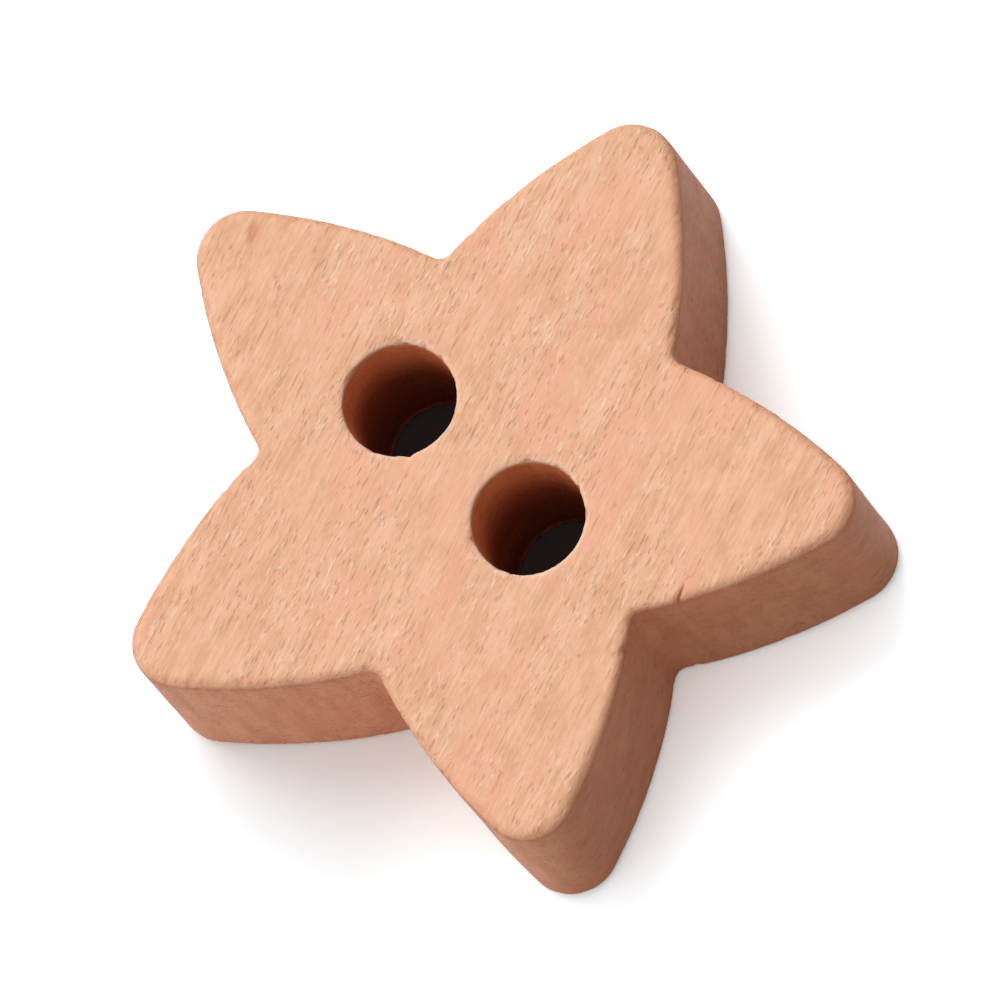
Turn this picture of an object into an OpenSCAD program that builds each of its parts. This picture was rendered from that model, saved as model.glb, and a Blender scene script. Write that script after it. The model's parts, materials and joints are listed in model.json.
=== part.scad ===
// A two-hole sewing button cut from pale hardwood as a chubby five-pointed star.
// Millimetres. Origin: centre of the star on its flat underside. +Z: up through the button.
// +Y: along the point that the two thread holes line up with.

/* [Star] */
// Width across the two side points
star_w = 15; // [12:0.5:24]
// Thickness of the wood
star_t = 4.3; // [2.5:0.1:6]
// Radius of the rounded end of each point
tip_r = 1; // [0.7:0.05:1.4]
// Distance from the centre to the valley between two points, as a share of the width
valley_share = 0.3; // [0.27:0.01:0.33]
// Radius of the bowed sides of each point, as a share of the width
bow_share = 0.8; // [0.6:0.05:1.4]
// Radius of the fillet in each valley
valley_r = 0.25; // [0.1:0.05:0.5]
// Radius worn onto the outer edges, top and bottom
edge_r = 0.2; // [0.1:0.05:0.5]

/* [Thread holes] */
// Diameter of each hole
hole_d = 2.3; // [1.5:0.1:2.6]
// Distance between the two hole centres
hole_pitch = 3.75; // [3.5:0.05:4.5]
// How far the pair sits off the centre, towards the point it lines up with
hole_shift = 0.35; // [0:0.05:0.6]
// Radius worn onto the rims of the holes
hole_edge_r = 0.12; // [0.05:0.01:0.2]

/* [Hidden] */
$fn = 96;

points = 5;
turn = 360 / points;
half_turn = turn / 2;
quarter = 90;
valley_d = valley_share * star_w;
bow_r = bow_share * star_w;

// One point lies along +X while it is worked out. Its rounded end is an arc about tip_c.
tip_c = [(star_w / 2 - tip_r) / sin(turn), 0];
valley_dir = [cos(half_turn), sin(half_turn)];
valley_c = valley_d * valley_dir;

// Each bowed side is an arc about bow_c. It runs through the valley and meets the rounded end
// without a corner, so bow_c is bow_r from the valley and bow_r - tip_r from tip_c.
reach = norm(tip_c - valley_c);
reach_dir = (tip_c - valley_c) / reach;
across_dir = [-reach_dir[1], reach_dir[0]];
along = (pow(bow_r, 2) - pow(bow_r - tip_r, 2) + pow(reach, 2)) / (2 * reach);
bow_c = valley_c + along * reach_dir - sqrt(pow(bow_r, 2) - pow(along, 2)) * across_dir;
other_bow_c = [bow_c[0], -bow_c[1]];

// The fillet in the valley is an arc about fillet_c, on the line half way between two points.
bow_along = bow_c * valley_dir;
bow_off = bow_c * bow_c - pow(bow_along, 2);
fillet_c = (bow_along + sqrt(pow(bow_r + valley_r, 2) - bow_off)) * valley_dir;

// Directions from bow_c to the two ends of the bowed side
tip_dir = atan2(tip_c[1] - bow_c[1], tip_c[0] - bow_c[0]);
fillet_dir = atan2(fillet_c[1] - bow_c[1], fillet_c[0] - bow_c[0]);

hole_r = hole_d / 2;
hole_y = [hole_shift - hole_pitch / 2, hole_shift + hole_pitch / 2];

// The star is trimmed out of a disc a little larger than itself.
blank_r = tip_c[0] + tip_r + edge_r;
// Width of the waste that a trimming cut clears, and its overshoot past the two faces
trim_w = star_w / 2;
cut = 1;
// How far, in degrees, a bowed cut runs on past the start of the rounded end
run_on = 3;
// Growth of an arc that makes it cross its neighbour cleanly where the two run together
lap = 0.002;

// The point p turned about the centre of the star
function spun(p, dir) = [p[0] * cos(dir) - p[1] * sin(dir), p[0] * sin(dir) + p[1] * cos(dir)];

// What wearing a corner round takes off. The arc is centred on the origin, the corner lies at
// [r, r], and the waste runs on past it by back.
module corner_waste(r, back) {
  difference() {
    square([r + back, r + cut]);
    circle(r);
  }
}

// Places a section at the upper face and its mirror image at the lower face.
module both_faces() {
  translate([0, star_t + lap]) children();
  translate([0, -lap]) mirror([0, 1]) children();
}

// Section of a cut that clears everything beyond radius r and wears the edges it leaves.
module trim_section(r) {
  translate([r, -cut]) square([trim_w, star_t + 2 * cut]);
  both_faces() translate([r - edge_r, -edge_r]) corner_waste(edge_r, cut);
}

// Cut that clears everything within radius r and wears the two rims it leaves.
module bore(r, worn) {
  rotate_extrude() {
    translate([0, -cut]) square([r, star_t + 2 * cut]);
    both_faces() translate([r + worn, -worn]) mirror([1, 0]) corner_waste(worn, r / 2);
  }
}

// Cut along an arc about the point c, from one direction to another.
module arc_cut(c, r, from, to) {
  translate(c)
    rotate_extrude(angle = to - from, start = from) trim_section(r);
}

// All the cuts round the point of the star that heads in the direction dir: its rounded end, its
// two bowed sides and the fillet in the valley that follows it.
module point_cuts(dir) {
  arc_cut(spun(tip_c, dir), tip_r + lap, dir - tip_dir, dir + tip_dir);
  arc_cut(spun(bow_c, dir), bow_r, dir + tip_dir - run_on, dir + fillet_dir);
  arc_cut(spun(other_bow_c, dir), bow_r, dir - fillet_dir, dir - tip_dir + run_on);
  translate(spun(fillet_c, dir)) bore(valley_r + lap, edge_r);
}

module star_button() {
  color("burlywood")
    difference() {
      cylinder(h = star_t, r = blank_r);
      for (i = [0 : points - 1])
        point_cuts(quarter + i * turn);
      for (y = hole_y)
        translate([0, y, 0]) bore(hole_r, hole_edge_r);
    }
}

star_button();
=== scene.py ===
"""Looks of a two-hole sewing button cut from pale hardwood as a chubby five-pointed star.

Geometry is worked out in millimetres in the part's own frame: the origin is the centre of the star on
its flat underside, +Z runs up through the button, and +Y runs along the point that the two thread holes
line up with. The finished meshes are in metres.
"""

from __future__ import annotations

import json
import logging
import math
from dataclasses import dataclass, field
from enum import Enum
from typing import Any, Mapping, Sequence, Union

import bpy
from mathutils import Matrix, Vector


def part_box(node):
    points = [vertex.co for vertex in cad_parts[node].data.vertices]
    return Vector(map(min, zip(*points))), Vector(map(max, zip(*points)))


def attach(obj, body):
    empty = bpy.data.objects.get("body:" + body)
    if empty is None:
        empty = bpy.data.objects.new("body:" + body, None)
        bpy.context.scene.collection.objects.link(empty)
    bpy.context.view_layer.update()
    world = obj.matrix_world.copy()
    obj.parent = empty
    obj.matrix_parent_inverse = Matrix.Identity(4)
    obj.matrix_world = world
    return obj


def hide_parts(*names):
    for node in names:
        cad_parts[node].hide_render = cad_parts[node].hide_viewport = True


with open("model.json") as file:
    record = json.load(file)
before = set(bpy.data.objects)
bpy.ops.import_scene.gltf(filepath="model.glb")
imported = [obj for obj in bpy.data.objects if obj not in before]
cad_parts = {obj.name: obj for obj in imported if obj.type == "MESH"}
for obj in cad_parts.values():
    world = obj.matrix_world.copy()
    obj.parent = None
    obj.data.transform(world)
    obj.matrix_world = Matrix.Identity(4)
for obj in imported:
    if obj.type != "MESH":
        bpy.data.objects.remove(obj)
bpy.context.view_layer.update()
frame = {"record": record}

LOG = logging.getLogger("star_button")
NODE = "star_button"
BODY = "root"

MM = 0.001
POINTS = 5
TURN = math.tau / POINTS
HALF_TURN = TURN / 2
POINT_HEADING = math.pi / 2

Colour = tuple[float, float, float]


class Mark(Enum):
    """What the button's mesh stores about its own surface, for the finish to read."""

    WALL = "wall"
    BORE = "bore"
    WORN = "worn"
    RIM_HIGHLIGHT = "rim"


def linear(red: int, green: int, blue: int) -> Colour:
    """Turns a colour as seen on a screen, 0 to 255, into the linear values that shaders use.

    Args:
        red: Red as displayed.
        green: Green as displayed.
        blue: Blue as displayed.

    Returns:
        The three linear values, 0 to 1.
    """
    shown = (red / 255, green / 255, blue / 255)
    return tuple(c / 12.92 if c <= 0.04045 else ((c + 0.055) / 1.055) ** 2.4 for c in shown)


@dataclass(frozen=True)
class Term:
    """An output of a node that takes part in Python arithmetic."""

    net: Net
    socket: bpy.types.NodeSocket

    def __add__(self, other: Value) -> Term:
        """Sum of the two."""
        return self.net.math("ADD", self, other)

    def __radd__(self, other: Value) -> Term:
        """Sum of the two."""
        return self.net.math("ADD", other, self)

    def __sub__(self, other: Value) -> Term:
        """This less the other."""
        return self.net.math("SUBTRACT", self, other)

    def __rsub__(self, other: Value) -> Term:
        """The other less this."""
        return self.net.math("SUBTRACT", other, self)

    def __mul__(self, other: Value) -> Term:
        """Product of the two."""
        return self.net.math("MULTIPLY", self, other)

    def __rmul__(self, other: Value) -> Term:
        """Product of the two."""
        return self.net.math("MULTIPLY", other, self)

    def __truediv__(self, other: Value) -> Term:
        """This over the other."""
        return self.net.math("DIVIDE", self, other)

    def __rtruediv__(self, other: Value) -> Term:
        """The other over this."""
        return self.net.math("DIVIDE", other, self)

    def __neg__(self) -> Term:
        """This with its sign changed."""
        return self.net.math("MULTIPLY", self, -1.0)

    def __abs__(self) -> Term:
        """This without its sign."""
        return self.net.math("ABSOLUTE", self)

    def __lt__(self, other: Value) -> Term:
        """1 where this is less than the other, 0 elsewhere."""
        return self.net.math("LESS_THAN", self, other)

    def __gt__(self, other: Value) -> Term:
        """1 where this is greater than the other, 0 elsewhere."""
        return self.net.math("GREATER_THAN", self, other)

    def root(self) -> Term:
        """Square root."""
        return self.net.math("SQRT", self)

    def at_least(self, other: Value) -> Term:
        """The greater of the two."""
        return self.net.math("MAXIMUM", self, other)

    def at_most(self, other: Value) -> Term:
        """The lesser of the two."""
        return self.net.math("MINIMUM", self, other)

    def where(self, chosen: Term, other: Value) -> Term:
        """The other value where chosen is 1, and this one where it is 0.

        Args:
            chosen: A term that is 0 or 1.
            other: What replaces this term.

        Returns:
            The blended term.
        """
        return self + chosen * (other - self)

    def rise(self, start: Value, end: Value) -> Term:
        """Eases from 0 at start to 1 at end, or from 1 to 0 if end lies below start.

        Args:
            start: Where the result is 0.
            end: Where the result is 1.

        Returns:
            The eased term.
        """
        sockets = {"Value": self, "From Min": start, "From Max": end}
        node = self.net.node("ShaderNodeMapRange", {"interpolation_type": "SMOOTHSTEP"}, sockets)
        return self.net.out(node, "Result")


Value = Union[Term, float]


class Net:
    """Writes nodes into one tree."""

    def __init__(self, tree: bpy.types.NodeTree) -> None:
        """Takes the tree that the nodes go into."""
        self.tree = tree

    def node(
        self,
        kind: str,
        settings: Mapping[str, Any] | None = None,
        sockets: Mapping[str | int, Any] | None = None,
    ) -> bpy.types.Node:
        """Adds a node, sets its settings first and then fills its sockets.

        Args:
            kind: The node's type.
            settings: Its properties by name.
            sockets: Values or terms for its inputs, by name or by place.

        Returns:
            The new node.
        """
        node = self.tree.nodes.new(kind)
        for name, value in (settings or {}).items():
            setattr(node, name, value)
        for key, value in (sockets or {}).items():
            if isinstance(value, Term):
                self.tree.links.new(value.socket, node.inputs[key])
            else:
                node.inputs[key].default_value = value
        return node

    def out(self, node: bpy.types.Node, name: str | int = 0) -> Term:
        """One output of a node as a term."""
        return Term(self, node.outputs[name])

    def math(self, operation: str, *values: Value) -> Term:
        """Adds a Math node on the given values and returns its result."""
        node = self.node("ShaderNodeMath", {"operation": operation}, dict(enumerate(values)))
        return self.out(node)

    def vector(self, operation: str, *values: Any) -> Term:
        """Adds a Vector Math node on the given values and returns its vector."""
        sockets = dict(enumerate(values))
        return self.out(self.node("ShaderNodeVectorMath", {"operation": operation}, sockets))

    def scaled(self, vector: Term, factor: Value) -> Term:
        """A vector made longer or shorter by a factor."""
        sockets = {0: vector, "Scale": factor}
        return self.out(self.node("ShaderNodeVectorMath", {"operation": "SCALE"}, sockets))

    def split(self, vector: Term) -> tuple[Term, Term, Term]:
        """The three parts of a vector."""
        node = self.node("ShaderNodeSeparateXYZ", None, {0: vector})
        return self.out(node, 0), self.out(node, 1), self.out(node, 2)

    def turned(self, vector: Term, angle: Value) -> Term:
        """A vector turned about the Z axis."""
        sockets = {"Vector": vector, "Angle": angle}
        return self.out(self.node("ShaderNodeVectorRotate", {"rotation_type": "Z_AXIS"}, sockets))

    def blend(self, factor: Value, first: Any, second: Any, mode: str = "MIX") -> Term:
        """Mixes two colours.

        Args:
            factor: 0 for the first colour, 1 for the second.
            first: A colour or a term.
            second: A colour or a term.
            mode: How the second is laid over the first.

        Returns:
            The mixed colour.
        """
        settings = {"data_type": "RGBA", "blend_type": mode}
        node = self.tree.nodes.new("ShaderNodeMix")
        for name, value in settings.items():
            setattr(node, name, value)
        wanted = {"Factor_Float": factor, "A_Color": first, "B_Color": second}
        for socket in node.inputs:
            value = wanted.get(socket.identifier)
            if isinstance(value, Term):
                self.tree.links.new(value.socket, socket)
            elif value is not None:
                socket.default_value = (*value, 1.0) if isinstance(value, tuple) else value
        result = next(socket for socket in node.outputs if socket.identifier == "Result_Color")
        return Term(self, result)

    def noise(self, vector: Term, scale: float, detail: float, roughness: float = 0.5) -> Term:
        """Soft noise from 0 to 1 that is about 0.5 in the mean.

        Args:
            vector: Where it is read.
            scale: Cells per unit of that vector.
            detail: How many finer layers it has.
            roughness: How strong the finer layers are.

        Returns:
            The noise.
        """
        sockets = {"Vector": vector, "Scale": scale, "Detail": detail, "Roughness": roughness}
        return self.out(self.node("ShaderNodeTexNoise", None, sockets), 0)


@dataclass(frozen=True)
class Cell:
    """Size in millimetres of a pattern's cells, and a shift that sets the pattern apart from others."""

    length: float
    width: float
    shift: float


@dataclass(frozen=True)
class Grain:
    """The wood's own pattern, read at places in millimetres whose X axis runs along the grain."""

    heading: float = math.radians(17.0)
    layer_size: tuple[float, float, float] = (9.0, 0.3, 1.8)

    def stretched(self, net: Net, place: Term, cell: Cell) -> Term:
        """Measures places in units of a cell that is longer along the grain than across it.

        Args:
            net: Where the nodes go.
            place: Places in millimetres along and across the grain.
            cell: The cell.

        Returns:
            The stretched places.
        """
        cells = net.vector("DIVIDE", place, (cell.length, cell.width, cell.width))
        return net.vector("ADD", cells, (cell.shift, 2 * cell.shift, 3 * cell.shift))

    def dashes(self, net: Net, place: Term, cell: Cell, share: float) -> Term:
        """Short separate dashes along the grain, as cut vessels leave them.

        Args:
            net: Where the nodes go.
            place: Places in millimetres along and across the grain.
            cell: The cell; a dash takes about half of its length.
            share: The share of the cells that hold a dash.

        Returns:
            1 in the middle of a dash and 0 outside it.
        """
        cells = self.stretched(net, place, cell)
        settings = {"feature": "F1", "distance": "EUCLIDEAN"}
        sockets = {"Vector": cells, "Scale": 1.0, "Randomness": 1.0}
        node = net.node("ShaderNodeTexVoronoi", settings, sockets)
        chance, _, _ = net.split(net.out(node, "Color"))
        return net.out(node, "Distance").rise(0.48, 0.12) * (chance < share)

    def clouds(self, net: Net, place: Term, cell: Cell, detail: float) -> Term:
        """Soft uneven tone drawn out along the grain, 0 to 1."""
        return net.noise(self.stretched(net, place, cell), 1.0, detail)

    def streaks(self, net: Net, place: Term, cell: Cell) -> Term:
        """Fine streaks along the grain, 0 to 1."""
        return self.clouds(net, place, cell, 1.0)

    def layers(self, net: Net, place: Term) -> Term:
        """Growth layers, 0 to 1: long stripes along the grain, upright lines on a cut end."""
        return net.noise(net.vector("DIVIDE", place, self.layer_size), 1.0, 1.0)


@dataclass(frozen=True)
class Blemish:
    """A mark that cutting or handling left at one place on the upper face, in millimetres."""

    x: float
    y: float
    length: float
    width: float
    heading: float
    tint: Colour
    depth: float = 0.0

    def spot(self, net: Net, x: Term, y: Term) -> Term:
        """How much of the mark a place has.

        Args:
            net: Where the nodes go.
            x: Places along X.
            y: Places along Y.

        Returns:
            1 in the middle of the mark and 0 outside it.
        """
        ahead, beside = math.cos(self.heading), math.sin(self.heading)
        along = (ahead * (x - self.x) + beside * (y - self.y)) / (self.length / 2)
        aside = (ahead * (y - self.y) - beside * (x - self.x)) / (self.width / 2)
        return (along * along + aside * aside).root().rise(1.0, 0.25)


BLEMISHES = (
    Blemish(0.49, 7.01, 0.8, 0.3, math.radians(30.0), (0.86, 0.66, 0.60)),
    Blemish(0.90, -5.01, 0.7, 0.12, math.radians(20.0), (0.45, 0.28, 0.20), 0.06),
    Blemish(-0.54, -4.92, 0.6, 0.12, math.radians(10.0), (0.50, 0.32, 0.24), 0.06),
    Blemish(-0.68, 1.22, 0.35, 0.12, math.radians(40.0), (1.25, 1.25, 1.25), 0.03),
)


@dataclass(frozen=True)
class WoodFinish:
    """Bare pale hardwood, tumbled smooth: flecked faces, cut sides darker partly in their own end-grain
    tone and partly as painted shade, outer walls darker still near their edges, drill holes with painted
    shade that deepens with depth, and a painted highlight round their rims.
    """

    grain: Grain
    thickness: float
    pale: Colour = linear(247, 195, 160)
    warm: Colour = linear(228, 169, 131)
    rosy: Colour = linear(243, 178, 145)
    pore: Colour = linear(178, 118, 84)
    fleck: Colour = linear(255, 224, 198)
    cut_side_and_painted_shade: Colour = (0.86, 0.59, 0.45)
    rim_side: Colour = (1.00, 0.86, 0.72)
    bore_painted_shade: Colour = (0.34, 0.19, 0.13)
    rounded_edge_tint: Colour = (0.99, 0.92, 0.87)
    wall_edge_tint: Colour = (0.90, 0.78, 0.71)
    wall_edge_depth: float = 0.45
    bore_shade_start: float = 0.4
    bore_shade_end: float = 2.4
    lower_rim: float = 0.4
    blemish_depth: float = 0.3
    patch_cell: Cell = Cell(2.4, 1.1, 3.0)
    mottle_cell: Cell = Cell(0.7, 0.4, 4.0)
    streak_cell: Cell = Cell(1.1, 0.065, 5.0)
    crowd_cell: Cell = Cell(2.0, 1.2, 6.0)
    vessel_cell: Cell = Cell(0.7, 0.1, 7.0)
    nap_cell: Cell = Cell(0.2, 0.075, 9.0)
    pore_cell: Cell = Cell(0.26, 0.075, 10.0)
    fleck_cell: Cell = Cell(0.24, 0.08, 11.0)
    dot_cell: Cell = Cell(0.17, 0.12, 13.0)
    vessel_share: float = 0.1
    dot_share: float = 0.015
    relief_strength: float = 0.75
    relief_depth: float = 0.022
    gloss: float = 0.35
    roughness: float = 0.62

    def place(self, net: Net) -> Term:
        """Places on the piece in millimetres, in the part's own frame."""
        coords = net.out(net.node("ShaderNodeTexCoord"), "Object")
        return net.scaled(coords, 1 / MM)

    def mark(self, net: Net, mark: Mark) -> Term:
        """One of the marks that the mesh stores, as a number from 0 to 1."""
        settings = {"attribute_name": mark.value, "attribute_type": "GEOMETRY"}
        return net.out(net.node("ShaderNodeAttribute", settings), "Fac")

    def depth(self, net: Net, place: Term) -> Term:
        """How far a place lies from the nearer of the two faces."""
        _, _, height = net.split(place)
        return height.at_most(self.thickness - height)

    def drilled(self, net: Net, place: Term) -> Term:
        """Painted shade on a drilled hole's wall, darker the deeper it lies below the upper face and
        lighter again close to the underside.

        Args:
            net: Where the nodes go.
            place: Places in millimetres.

        Returns:
            A colour to multiply with.
        """
        _, _, height = net.split(place)
        deep = (self.thickness - height).rise(self.bore_shade_start, self.bore_shade_end)
        deep = deep * height.rise(self.lower_rim / 5, self.lower_rim)
        return net.blend(deep, self.rim_side, self.bore_painted_shade)

    def material(self) -> bpy.types.Material:
        """Builds the wood's material.

        Returns:
            The finished material.
        """
        material = bpy.data.materials.new("pale_hardwood")
        material.use_nodes = True
        material.node_tree.nodes.clear()
        net = Net(material.node_tree)
        grain = self.grain
        in_part = self.place(net)
        x, y, z = net.split(in_part)
        upper = (self.thickness - z).rise(self.blemish_depth, 0.1)
        place = net.turned(in_part, -grain.heading)
        wall = self.mark(net, Mark.WALL)
        bore = self.mark(net, Mark.BORE)
        worn = self.mark(net, Mark.WORN)
        rim = self.mark(net, Mark.RIM_HIGHLIGHT)

        patch = grain.clouds(net, place, self.patch_cell, 2.0)
        mottle = grain.clouds(net, place, self.mottle_cell, 2.0)
        streak = grain.streaks(net, place, self.streak_cell)
        nap = grain.streaks(net, place, self.nap_cell)
        crowd = grain.streaks(net, place, self.crowd_cell).rise(0.3, 0.58)
        vessels = grain.dashes(net, place, self.vessel_cell, self.vessel_share)
        pores = grain.streaks(net, place, self.pore_cell).rise(0.57, 0.75) * crowd
        flecks = grain.streaks(net, place, self.fleck_cell).rise(0.56, 0.75) * crowd
        dots = grain.dashes(net, place, self.dot_cell, self.dot_share)

        layer = grain.layers(net, place)
        tone = 0.5 + 0.9 * (mottle - 0.5) + 0.6 * (streak - 0.5) + 0.6 * (nap - 0.5)
        tone = (tone + (0.5 + 0.9 * wall) * (layer - 0.5)).rise(0.1, 0.9)
        colour = net.blend(tone, self.warm, self.pale)
        colour = net.blend(0.7 * patch.rise(0.45, 0.7), colour, self.rosy)
        dark = (0.3 * pores).at_least((0.3 + 0.4 * wall) * dots).at_least(0.24 * vessels)
        colour = net.blend(dark, colour, self.pore)
        colour = net.blend(0.42 * flecks, colour, self.fleck)
        for blemish in BLEMISHES:
            colour = net.blend(upper * blemish.spot(net, x, y), colour, blemish.tint, "MULTIPLY")
        # Cut sides darker and redder than the faces: partly the wood's own end-grain tone, partly painted
        # shade.
        colour = net.blend(wall, colour, self.cut_side_and_painted_shade, "MULTIPLY")
        # Painted shade inside the holes, darker with depth.
        colour = net.blend(bore, colour, self.drilled(net, place), "MULTIPLY")
        # Slightly darker and redder on the rounded edges.
        colour = net.blend(worn, colour, self.rounded_edge_tint, "MULTIPLY")
        # Pale ring on each hole's rounding: a painted highlight, in part also a pale worn edge.
        colour = net.blend(0.6 * rim, colour, self.fleck)
        # Outer walls darker and redder within a band next to the upper and lower faces.
        wall_edge_band = wall * (1.0 - bore) * self.depth(net, place).rise(self.wall_edge_depth, 0.1)
        colour = net.blend(wall_edge_band, colour, self.wall_edge_tint, "MULTIPLY")

        height = 0.3 * nap + 0.5 * streak + 0.5 * flecks - 0.8 * pores - 0.6 * dots - 0.6 * vessels
        sockets = {"Strength": self.relief_strength, "Distance": self.relief_depth * MM, "Height": height}
        bump = net.node("ShaderNodeBump", None, sockets)
        sockets = {
            "Base Color": colour,
            "Roughness": self.roughness + 0.2 * (0.5 - streak) - 0.08 * worn,
            "Specular IOR Level": self.gloss,
            "Normal": net.out(bump),
        }
        shader = net.node("ShaderNodeBsdfPrincipled", None, sockets)
        net.node("ShaderNodeOutputMaterial", None, {"Surface": net.out(shader)})
        return material


class Recipe:
    """A Geometry Nodes tree with named inputs, baked to a plain mesh when it is whole."""

    def __init__(self, name: str) -> None:
        """Starts an empty tree with one geometry output."""
        self.tree = bpy.data.node_groups.new(name, "GeometryNodeTree")
        self.tree.interface.new_socket("Geometry", in_out="OUTPUT", socket_type="NodeSocketGeometry")
        self.net = Net(self.tree)
        self.entry = self.net.node("NodeGroupInput")
        self.values: dict[str, Any] = {}

    def take(self, name: str, value: Any, kind: str = "NodeSocketFloat") -> Term:
        """Adds a named input and keeps the value that it is to have.

        Args:
            name: The input's name.
            value: What the modifier sets it to.
            kind: Its socket type.

        Returns:
            The input as a term.
        """
        item = self.tree.interface.new_socket(name, in_out="INPUT", socket_type=kind)
        self.values[item.identifier] = value
        return self.net.out(self.entry, name)

    def bake(self, name: str, geometry: Term, material: Term) -> bpy.types.Object:
        """Ends the tree, runs it on an empty mesh and keeps the result as that object's mesh.

        Args:
            name: Name of the new object.
            geometry: What the tree has made.
            material: The input that holds the material.

        Returns:
            An object at the origin with a plain mesh and no modifier.
        """
        net = self.net
        real = net.out(net.node("GeometryNodeRealizeInstances", None, {"Geometry": geometry}))
        dressed = net.node("GeometryNodeSetMaterial", None, {"Geometry": real, "Material": material})
        net.node("NodeGroupOutput", None, {"Geometry": net.out(dressed)})
        piece = bpy.data.objects.new(name, bpy.data.meshes.new(name + "_seed"))
        bpy.context.scene.collection.objects.link(piece)
        modifier = piece.modifiers.new(self.tree.name, "NODES")
        modifier.node_group = self.tree
        for identifier, value in self.values.items():
            modifier[identifier] = value
        graph = bpy.context.evaluated_depsgraph_get()
        mesh = bpy.data.meshes.new_from_object(
            piece.evaluated_get(graph), preserve_all_data_layers=True, depsgraph=graph
        )
        seed = piece.data
        piece.modifiers.remove(modifier)
        piece.data = mesh
        mesh.name = name
        bpy.data.meshes.remove(seed)
        return piece


@dataclass(frozen=True)
class ThreadHole:
    """A round hole straight through the button, in millimetres."""

    x: float
    y: float
    radius: float

    @classmethod
    def from_mount(cls, mount: Mapping[str, Any]) -> ThreadHole:
        """Reads a hole from one of the record's bore mounts."""
        return cls(mount["pos_m"][0] / MM, mount["pos_m"][1] / MM, mount["dims"]["r_mm"])

    def reach(self) -> float:
        """How far from the middle of the star the hole extends."""
        return math.hypot(self.x, self.y) + self.radius


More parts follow.
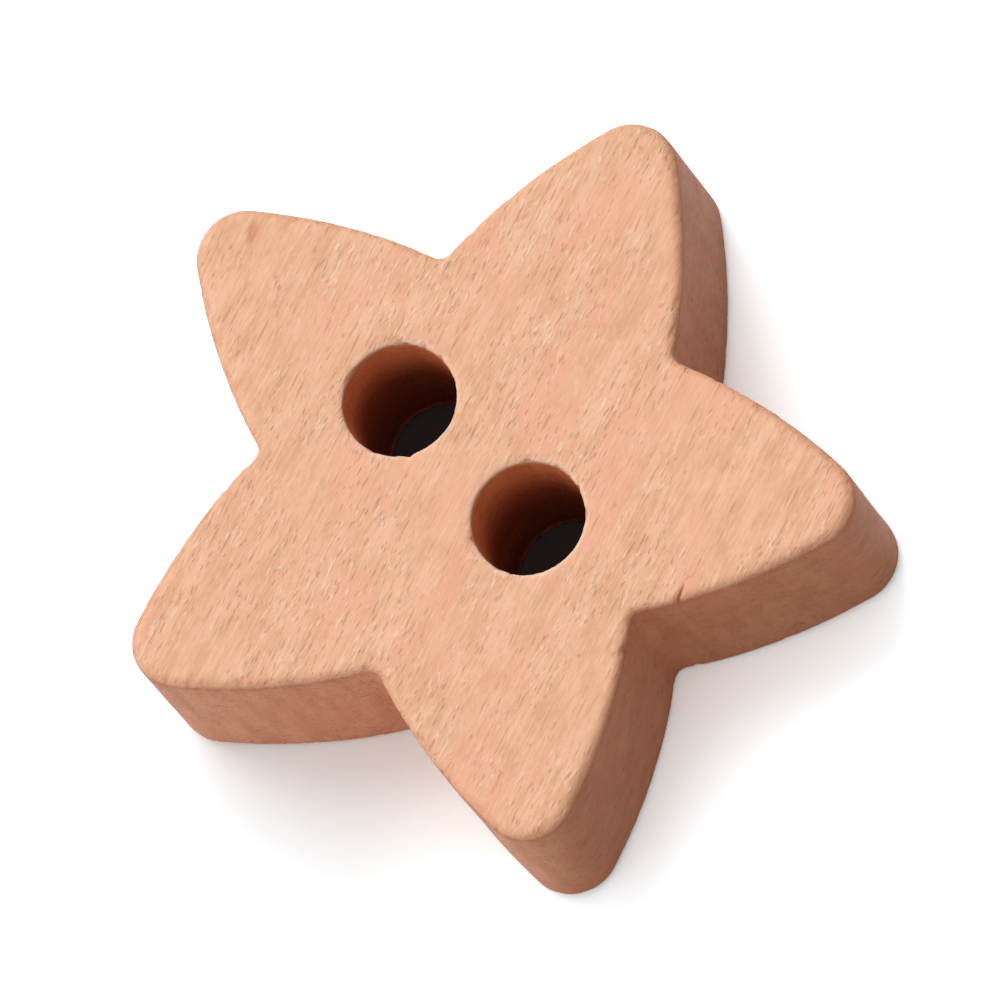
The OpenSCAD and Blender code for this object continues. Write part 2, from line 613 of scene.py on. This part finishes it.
@dataclass
class StarButton:
    """The wooden star. Sizes are in millimetres."""

    width: float
    thickness: float
    holes: Sequence[ThreadHole]
    finish: WoodFinish
    tip_radius: float = 1.0
    valley_share: float = 0.3
    bow_share: float = 0.8
    valley_radius: float = 0.25
    edge_radius: float = 0.16
    tip_edge_radius: float = 0.27
    rim_radius: float = 0.11
    step_along: float = 0.11
    step_across: float = 0.055
    step_up: float = 0.1
    wave_depth: float = 0.03
    furrow_depth: float = 0.01
    fray_depth: float = 0.07
    wave_cell: Cell = Cell(2.2, 1.4, 1.0)
    furrow_cell: Cell = Cell(1.4, 0.3, 2.0)
    fray_cell: Cell = Cell(0.5, 0.2, 8.0)
    recipe: Recipe = field(init=False)

    @classmethod
    def from_frame(cls, grain: Grain) -> StarButton:
        """Takes the width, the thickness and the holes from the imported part."""
        low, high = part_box(NODE)
        thickness = (high.z - low.z) / MM
        mounts = [mount for mount in frame["record"]["mounts"] if mount["kind"] == "bore"]
        holes = [ThreadHole.from_mount(mount) for mount in mounts]
        return cls((high.x - low.x) / MM, thickness, holes, WoodFinish(grain, thickness))

    def outline_distance(self, x: Term, y: Term) -> Term:
        """Distance to the star's outline, less than 0 inside it.

        One half of one point is worked out, from its middle line to the valley beside it, and every
        place is folded onto it. The rounded end, the bowed side and the valley fillet are arcs that
        run into one another without a corner.

        Args:
            x: Places along X.
            y: Places along Y.

        Returns:
            The signed distance.
        """
        net = self.recipe.net
        take = self.recipe.take
        width = take("Width", self.width)
        tip_r = take("Tip radius", self.tip_radius)
        valley_d = take("Valley share", self.valley_share) * width
        bow_r = take("Bow share", self.bow_share) * width
        valley_r = take("Valley radius", self.valley_radius)

        heading = net.math("ARCTAN2", y, x) - POINT_HEADING
        folded = abs(net.math("WRAP", heading, HALF_TURN, -HALF_TURN))
        radius = (x * x + y * y).root()
        along = radius * net.math("COSINE", folded)
        aside = radius * net.math("SINE", folded)

        tip_x = (width / 2 - tip_r) / math.sin(TURN)
        valley_x = valley_d * math.cos(HALF_TURN)
        valley_y = valley_d * math.sin(HALF_TURN)
        reach = ((tip_x - valley_x) * (tip_x - valley_x) + valley_y * valley_y).root()
        reach_x = (tip_x - valley_x) / reach
        reach_y = -valley_y / reach
        inset = bow_r - tip_r
        foot = (bow_r * bow_r - inset * inset + reach * reach) / (2 * reach)
        drop = (bow_r * bow_r - foot * foot).root()
        bow_x = valley_x + foot * reach_x + drop * reach_y
        bow_y = valley_y + foot * reach_y - drop * reach_x

        bow_along = bow_x * math.cos(HALF_TURN) + bow_y * math.sin(HALF_TURN)
        bow_off = bow_x * bow_x + bow_y * bow_y - bow_along * bow_along
        fillet_reach = bow_r + valley_r
        fillet_d = bow_along + (fillet_reach * fillet_reach - bow_off).root()
        fillet_x = fillet_d * math.cos(HALF_TURN)
        fillet_y = fillet_d * math.sin(HALF_TURN)

        from_bow_x, from_bow_y = along - bow_x, aside - bow_y
        from_tip = along - tip_x
        from_fillet_x, from_fillet_y = along - fillet_x, aside - fillet_y
        to_bow = (from_bow_x * from_bow_x + from_bow_y * from_bow_y).root() - bow_r
        to_tip = (from_tip * from_tip + aside * aside).root() - tip_r
        to_fillet = valley_r - (from_fillet_x * from_fillet_x + from_fillet_y * from_fillet_y).root()
        past_tip = ((tip_x - bow_x) * from_bow_y + bow_y * from_bow_x) < 0.0
        past_fillet = ((fillet_x - bow_x) * from_bow_y - (fillet_y - bow_y) * from_bow_x) > 0.0
        return to_bow.where(past_tip, to_tip).where(past_fillet, to_fillet)

    def build(self) -> bpy.types.Object:
        """Makes the button's mesh.

        The star is a formula for the distance to its surface, sampled on a lattice whose first axis
        runs along the grain. The mesh drawn through it is then seated on the exact surface and worn.

        Returns:
            The finished piece.
        """
        self.recipe = Recipe("star_rule")
        net = self.recipe.net
        take = self.recipe.take
        wood = take("Wood", self.finish.material(), "NodeSocketMaterial")
        thick = take("Thickness", self.thickness)
        side_edge_r = take("Edge radius", self.edge_radius)
        tip_edge_r = take("Edge radius at the points", self.tip_edge_radius)
        rim_r = take("Rim radius", self.rim_radius)
        grain = take("Grain heading", self.finish.grain.heading)
        wave_depth = take("Wave depth", self.wave_depth)
        furrow_depth = take("Furrow depth", self.furrow_depth)
        fray_depth = take("Fray depth", self.fray_depth)

        place = net.out(net.node("GeometryNodeInputPosition"))
        x, y, z = net.split(net.turned(place, grain))
        from_face = abs(z - thick / 2) - thick / 2
        to_outline = self.outline_distance(x, y)
        to_hole: Term | None = None
        for number, hole in enumerate(self.holes, 1):
            off_x = x - take(f"Hole {number} X", hole.x)
            off_y = y - take(f"Hole {number} Y", hole.y)
            bore_r = take(f"Hole {number} radius", hole.radius)
            depth = bore_r - (off_x * off_x + off_y * off_y).root()
            to_hole = depth if to_hole is None else to_hole.at_least(depth)
        far = (x * x + y * y).root().rise(0.3 * self.width, 0.5 * self.width)
        edge_r = side_edge_r + far * (tip_edge_r - side_edge_r)
        star = self.rounded(to_outline, from_face, edge_r)
        drilled = self.rounded(to_hole, from_face, rim_r)
        surface = star.at_least(drilled)

        block = self.lattice(surface)
        for _ in range(2):
            block = self.pushed(block, -surface)
        wood_grain = self.finish.grain
        wave = wood_grain.clouds(net, place, self.wave_cell, 2.0)
        furrow = wood_grain.streaks(net, place, self.furrow_cell)
        side = to_outline.at_least(to_hole)
        near_edge = side.at_most(from_face).rise(-0.3, 0.0)
        fray = wood_grain.clouds(net, place, self.fray_cell, 2.0)
        torn = fray_depth * near_edge * fray.rise(0.52, 0.75)
        upper = (thick - z).rise(self.finish.blemish_depth, 0.1)
        for blemish in BLEMISHES:
            torn = torn + blemish.depth * upper * blemish.spot(net, x, y)
        block = self.pushed(block, -(wave_depth * wave + furrow_depth * furrow + torn))

        block = self.stored(block, Mark.WALL, (side - from_face).rise(0.06, 0.2))
        drilled_side = to_hole.rise(-0.08, -0.01) * (-from_face).rise(0.03, 0.15)
        block = self.stored(block, Mark.BORE, drilled_side)
        rounding = (to_outline + edge_r).at_most(from_face + edge_r) / edge_r
        block = self.stored(block, Mark.WORN, rounding.rise(0.0, 0.6))
        rim_rounding = (to_hole + rim_r).at_most(from_face + rim_r) / rim_r
        # Marks the rounding round each hole for its painted highlight.
        block = self.stored(block, Mark.RIM_HIGHLIGHT, rim_rounding.rise(0.0, 0.5))

        sockets = {"Geometry": block, "Scale": (MM, MM, MM)}
        placed = net.node("GeometryNodeTransform", None, sockets)
        turn = net.node("ShaderNodeCombineXYZ", None, {"Z": grain})
        self.recipe.tree.links.new(turn.outputs[0], placed.inputs["Rotation"])
        smooth = net.node("GeometryNodeSetShadeSmooth", None, {"Geometry": net.out(placed)})
        return self.recipe.bake("wooden_star", net.out(smooth), wood)

    def rounded(self, side: Term, face: Term, radius: Term) -> Term:
        """Distance to a plate whose edges are rounded.

        Args:
            side: Distance to its outline, seen from above.
            face: Distance to its upper or lower face.
            radius: Radius of the edge between them.

        Returns:
            The signed distance to the plate.
        """
        out_side = side + radius
        out_face = face + radius
        past_side = out_side.at_least(0.0)
        past_face = out_face.at_least(0.0)
        corner = (past_side * past_side + past_face * past_face).root()
        return out_side.at_least(out_face).at_most(0.0) + corner - radius

    def lattice(self, surface: Term) -> Term:
        """Draws a mesh through the places where the distance to the surface is nothing.

        Args:
            surface: The signed distance, less than 0 inside.

        Returns:
            The mesh.
        """
        net = self.recipe.net
        room = 4 * self.step_along
        reach = self.width / 2 / math.sin(TURN) + room
        low = (-reach, -reach, -room)
        high = (reach, reach, self.thickness + room)
        steps = (self.step_along, self.step_across, self.step_up)
        counts = [math.ceil((top - bottom) / step) for bottom, top, step in zip(low, high, steps)]
        sockets = {
            "Density": -surface,
            "Background": -room,
            "Min": low,
            "Max": high,
            "Resolution X": counts[0],
            "Resolution Y": counts[1],
            "Resolution Z": counts[2],
        }
        volume = net.out(net.node("GeometryNodeVolumeCube", None, sockets))
        settings = {"resolution_mode": "GRID"}
        sockets = {"Volume": volume, "Threshold": 0.0, "Adaptivity": 0.0}
        return net.out(net.node("GeometryNodeVolumeToMesh", settings, sockets))

    def pushed(self, mesh: Term, distance: Term) -> Term:
        """Moves a mesh along its own normals.

        Args:
            mesh: The mesh.
            distance: How far outwards each place goes.

        Returns:
            The moved mesh.
        """
        net = self.recipe.net
        normal = net.out(net.node("GeometryNodeInputNormal"))
        sockets = {"Geometry": mesh, "Offset": net.scaled(normal, distance)}
        return net.out(net.node("GeometryNodeSetPosition", None, sockets))

    def stored(self, mesh: Term, mark: Mark, value: Term) -> Term:
        """Keeps a value on the mesh for the finish to read.

        Args:
            mesh: The mesh.
            mark: Its name.
            value: The value at each place.

        Returns:
            The mesh with the value on it.
        """
        net = self.recipe.net
        settings = {"data_type": "FLOAT", "domain": "POINT"}
        sockets = {"Geometry": mesh, "Name": mark.value, "Value": value}
        return net.out(net.node("GeometryNodeStoreNamedAttribute", settings, sockets))

    def dress(self, piece: bpy.types.Object) -> None:
        """Seats the piece on the part's body in place of the plain solid."""
        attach(piece, BODY)
        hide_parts(NODE)


@dataclass
class Studio:
    """A white table top, soft light from behind and above, and the camera. Sizes are in metres."""

    target: Vector
    holes_reach: float
    to_eye: Vector = field(default_factory=lambda: Vector((-0.04741, -0.36881, 0.92830)))
    picture_up: Vector = field(default_factory=lambda: Vector((0.72235, 0.63398, 0.27618)))
    distance: float = 0.4985
    view_width: float = 0.020
    sensor: float = 36.0
    floor_size: float = 4.0
    floor_seen: Colour = (1.18, 1.27, 1.30)
    floor_seen_right_painted_light: Colour = (1.85, 2.00, 2.05)
    floor_bounce: Colour = (0.69, 0.82, 0.95)
    floor_bounce_right: Colour = (0.09, 0.045, 0.03)
    floor_painted_shade: Colour = (0.11, 0.11, 0.11)
    right_start: float = -0.004
    right_end: float = 0.002
    painted_shade_share: float = 1.04
    painted_shade_fade_share: float = 1.3
    sky_from: Vector = field(default_factory=lambda: Vector((-0.4, 0.4, 0.82)))
    sky_fade: tuple[float, float] = (-0.4, 0.62)
    sky_bright: float = 0.77
    sky_dim: Colour = (0.08, 0.045, 0.035)
    key_strength: float = 1.22
    key_spread: float = math.radians(50.0)
    key_from: Vector = field(default_factory=lambda: Vector((0.15, 0.85, 1.1)))

    def camera(self) -> None:
        """Looks down on the button from where the picture was taken."""
        data = bpy.data.cameras.new("camera")
        data.sensor_width = self.sensor
        data.lens = self.sensor * self.distance / self.view_width
        data.clip_start = self.distance / 50
        data.clip_end = self.floor_size * 5
        camera = bpy.data.objects.new("camera", data)
        bpy.context.scene.collection.objects.link(camera)
        back = self.to_eye.normalized()
        right = self.picture_up.cross(back).normalized()
        up = back.cross(right)
        turn = Matrix((right, up, back)).transposed().to_4x4()
        camera.matrix_world = Matrix.Translation(self.target + self.distance * back) @ turn
        bpy.context.scene.camera = camera

    def seen(self, net: Net) -> Term:
        """1 for what the camera sees, straight or through gloss and glass, and 0 for other light."""
        path = net.node("ShaderNodeLightPath")
        shiny = net.out(path, "Is Glossy Ray").at_least(net.out(path, "Is Transmission Ray"))
        return net.out(path, "Is Camera Ray").at_least(shiny)

    def floor(self) -> None:
        """Lays a table top that shows white where nothing shades it.

        Under the button, where it shows through the holes, it is painted dark as painted shade; to the
        right of the picture the camera sees it painted brighter, a painted light that washes out the
        shadow there, and there it gives back less light.
        It is clear from below, so that the underside can be looked at.
        """
        half = self.floor_size / 2
        corners = [(-half, -half, 0), (half, -half, 0), (half, half, 0), (-half, half, 0)]
        mesh = bpy.data.meshes.new("table_top")
        mesh.from_pydata(corners, [], [(0, 1, 2, 3)])
        material = bpy.data.materials.new("white_table")
        material.use_nodes = True
        material.node_tree.nodes.clear()
        net = Net(material.node_tree)
        coords = net.out(net.node("ShaderNodeTexCoord"), "Object")
        length = net.node("ShaderNodeVectorMath", {"operation": "LENGTH"}, {0: coords})
        # Painted shade: the table is painted dark under the button, fading out past the holes.
        painted_shade_radius = self.painted_shade_share * self.holes_reach
        painted_shade_fade_radius = self.painted_shade_fade_share * self.holes_reach
        open_floor = net.out(length, "Value").rise(painted_shade_radius, painted_shade_fade_radius)
        rightwards = self.picture_up.cross(self.to_eye).normalized()
        sockets = {0: coords, 1: rightwards}
        across = net.node("ShaderNodeVectorMath", {"operation": "DOT_PRODUCT"}, sockets)
        right = net.out(across, "Value").rise(self.right_start, self.right_end)
        # Painted light: the camera sees the table brighter towards the right, which washes out the shadow
        # there.
        white = net.blend(right, self.floor_seen, self.floor_seen_right_painted_light)
        grey = net.blend(right, self.floor_bounce, self.floor_bounce_right)
        grey = net.blend(open_floor, self.floor_painted_shade, grey)
        colour = net.blend(open_floor, self.floor_painted_shade, white)
        shown = net.node("ShaderNodeBsdfDiffuse", None, {"Color": colour})
        unseen = net.node("ShaderNodeBsdfDiffuse", None, {"Color": grey})
        sockets = {0: self.seen(net), 1: net.out(unseen), 2: net.out(shown)}
        both = net.out(net.node("ShaderNodeMixShader", None, sockets))
        below = net.out(net.node("ShaderNodeNewGeometry"), "Backfacing")
        looked_through = below * net.out(net.node("ShaderNodeLightPath"), "Is Camera Ray")
        clear = net.out(net.node("ShaderNodeBsdfTransparent"))
        sockets = {0: looked_through, 1: both, 2: clear}
        surface = net.out(net.node("ShaderNodeMixShader", None, sockets))
        net.node("ShaderNodeOutputMaterial", None, {"Surface": surface})
        mesh.materials.append(material)
        floor = bpy.data.objects.new("table_top", mesh)
        bpy.context.scene.collection.objects.link(floor)

    def sky(self) -> None:
        """Surrounds the table with soft light that is brighter on one side."""
        world = bpy.data.worlds.new("soft_room")
        world.use_nodes = True
        world.node_tree.nodes.clear()
        net = Net(world.node_tree)
        direction = net.out(net.node("ShaderNodeTexCoord"), "Generated")
        sockets = {0: direction, 1: self.sky_from.normalized()}
        facing = net.node("ShaderNodeVectorMath", {"operation": "DOT_PRODUCT"}, sockets)
        share = net.out(facing, "Value").rise(*self.sky_fade)
        bright = (self.sky_bright,) * 3
        colour = net.blend(share, self.sky_dim, bright)
        colour = net.blend(self.seen(net), colour, (1.0, 1.0, 1.0))
        sky = net.node("ShaderNodeBackground", None, {"Color": colour})
        net.node("ShaderNodeOutputWorld", None, {"Surface": net.out(sky)})
        bpy.context.scene.world = world

    def key(self) -> None:
        """Hangs one broad soft lamp behind and above the button."""
        data = bpy.data.lights.new("key", "SUN")
        data.energy = self.key_strength
        data.angle = self.key_spread
        key = bpy.data.objects.new("key", data)
        key.rotation_euler = self.key_from.to_track_quat("Z", "Y").to_euler()
        bpy.context.scene.collection.objects.link(key)

    def set_up(self) -> None:
        """Makes the camera, the floor and the light."""
        self.camera()
        self.floor()
        self.sky()
        self.key()
        bpy.context.scene.view_settings.view_transform = "Standard"


def main() -> None:
    """Builds the button and its studio."""
    logging.basicConfig(level=logging.INFO, format="%(name)s: %(message)s")
    button = StarButton.from_frame(Grain())
    piece = button.build()
    button.dress(piece)
    LOG.info("%s: %d faces", piece.name, len(piece.data.polygons))
    middle = Vector((0.0, 0.0, button.thickness / 2 * MM))
    holes_reach = max(hole.reach() for hole in button.holes) * MM
    Studio(middle, holes_reach).set_up()
    LOG.info("studio ready")


if __name__ == "__main__":
    main()
